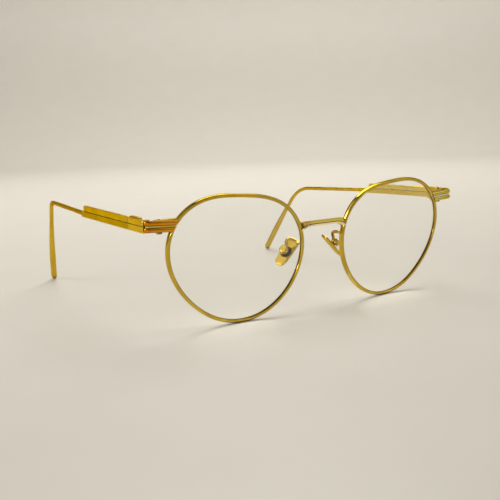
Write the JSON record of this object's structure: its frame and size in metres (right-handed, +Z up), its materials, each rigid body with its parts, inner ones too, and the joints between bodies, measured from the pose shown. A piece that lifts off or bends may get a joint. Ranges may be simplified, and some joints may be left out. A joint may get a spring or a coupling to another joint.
{
  "type": "round eyeglasses",
  "caption": "Round metal eyeglasses with clear lenses, a bevelled bridge, double-bar end pieces, folding temples with wire ends and rocking metal nose pads.",
  "frame": {"origin": "on the surface the glasses stand on, under the middle of their overall box", "axes": "+X to the wearer's left, +Y back along the temples, +Z up"},
  "size_m": [0.1426, 0.1316, 0.0464],
  "materials": {
    "gold": "satin gold plating over a drawn metal frame",
    "deep_gold": "gold plating, a little darker in the recesses",
    "screw": "pale gold washed steel",
    "lens": "clear, polished, no tint"
  },
  "bodies": {
    "front": {"bridge": "gold", "left_rim": "gold", "right_rim": "gold", "left_lens": "lens", "right_lens": "lens", "left_closing_block_upper": "deep_gold", "right_closing_block_upper": "deep_gold", "left_closing_block_lower": "deep_gold", "right_closing_block_lower": "deep_gold", "left_closing_screw": "screw", "right_closing_screw": "screw", "left_end_piece": "gold", "right_end_piece": "gold", "left_hinge_front": "deep_gold", "right_hinge_front": "deep_gold", "left_hinge_screw": "screw", "right_hinge_screw": "screw", "left_pad_arm": "deep_gold", "right_pad_arm": "deep_gold", "left_pad_box": "gold", "right_pad_box": "gold", "left_pad_screw": "screw", "right_pad_screw": "screw"},
    "left_temple": {"left_hinge_temple": "deep_gold", "left_temple_front_block": "gold", "left_temple_upper_strip": "gold", "left_temple_wire": "gold"},
    "right_temple": {"right_hinge_temple": "deep_gold", "right_temple_front_block": "gold", "right_temple_upper_strip": "gold", "right_temple_wire": "gold"},
    "left_pad": {"left_nose_pad": "gold"},
    "right_pad": {"right_nose_pad": "gold"}
  },
  "joints": [
    {"name": "left_temple_fold", "type": "hinge", "parent": "front", "child": "left_temple", "pos_m": [0.067, -0.05807, 0.0374], "axis": [0, 0, 1], "range_deg": [0, 86]},
    {"name": "right_temple_fold", "type": "hinge", "parent": "front", "child": "right_temple", "pos_m": [-0.067, -0.05807, 0.0374], "axis": [0, 0, -1], "range_deg": [0, 82]},
    {"name": "left_pad_rock", "type": "hinge", "parent": "front", "child": "left_pad", "pos_m": [0.01207, -0.05663, 0.02299], "axis": [0.1893, 0.9659, 0.1765], "range_deg": [-10, 10]},
    {"name": "right_pad_rock", "type": "hinge", "parent": "front", "child": "right_pad", "pos_m": [-0.01207, -0.05663, 0.02299], "axis": [-0.1893, 0.9659, 0.1765], "range_deg": [-10, 10]}
  ]
}
